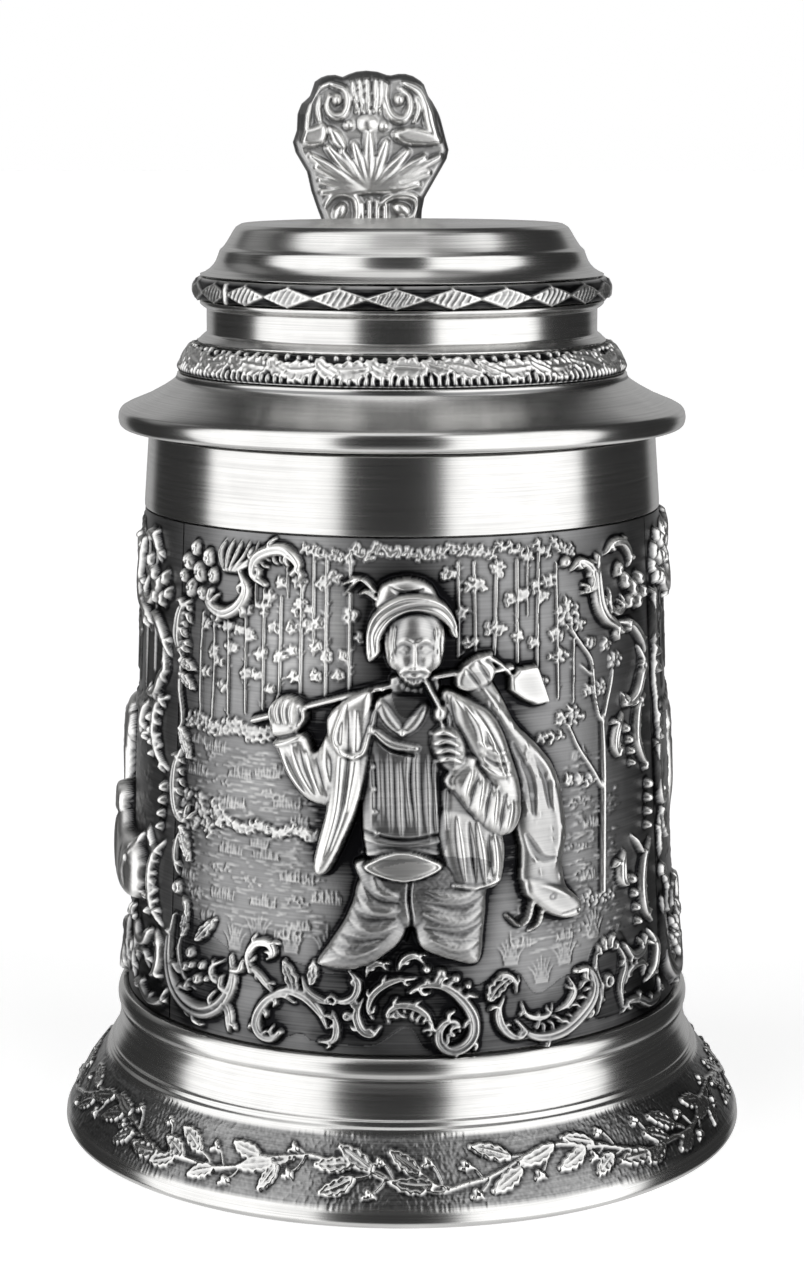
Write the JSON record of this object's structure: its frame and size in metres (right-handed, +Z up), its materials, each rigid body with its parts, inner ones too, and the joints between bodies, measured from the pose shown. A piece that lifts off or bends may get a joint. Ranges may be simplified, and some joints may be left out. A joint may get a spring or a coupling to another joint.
{
  "type": "lidded pewter tankard",
  "caption": "Lidded pewter tankard: relief plates round a tapering barrel, flared foot, side handle, and a stepped lid hinged at the back with an upright thumb-lift.",
  "frame": {"origin": "on the turned axis at the standing plane of the foot; the base plate's underside is 0.8 mm above it", "axes": "+Z up along the turned axis, -Y towards the front relief picture, +Y towards the handle and the lid hinge, +X to the right when the front is faced"},
  "size_m": [0.1196, 0.1519, 0.1835],
  "materials": {
    "turned_pewter": "lathe-brushed bright pewter with fine horizontal lines",
    "antiqued_pewter": "cast relief, dark in the recesses and polished bright on the raised parts",
    "inner_pewter": "plain satin pewter, turned"
  },
  "bodies": {
    "tankard": {"foot_ring": "antiqued_pewter", "base_plate": "inner_pewter", "inner_vessel": "inner_pewter", "relief_plate_front": "antiqued_pewter", "relief_plate_left": "antiqued_pewter", "relief_plate_right": "antiqued_pewter", "collar_band": "turned_pewter", "handle": "antiqued_pewter", "handle_lower_pad": "antiqued_pewter", "hinge_bracket": "antiqued_pewter", "hinge_pin": "turned_pewter", "pin_cap_left": "turned_pewter", "pin_cap_right": "turned_pewter"},
    "lid": {"lid_skirt": "turned_pewter", "lid_seat_ring": "inner_pewter", "lid_oak_leaf_band": "antiqued_pewter", "lid_waist": "turned_pewter", "lid_diamond_band": "antiqued_pewter", "lid_cap": "turned_pewter", "lid_hinge_strap": "antiqued_pewter", "thumb_lift": "antiqued_pewter"}
  },
  "joints": [
    {"name": "lid_hinge", "type": "hinge", "parent": "tankard", "child": "lid", "pos_m": [0, 0.0535, 0.1245], "axis": [-1, 0, 0], "range_deg": [0, 95]}
  ]
}
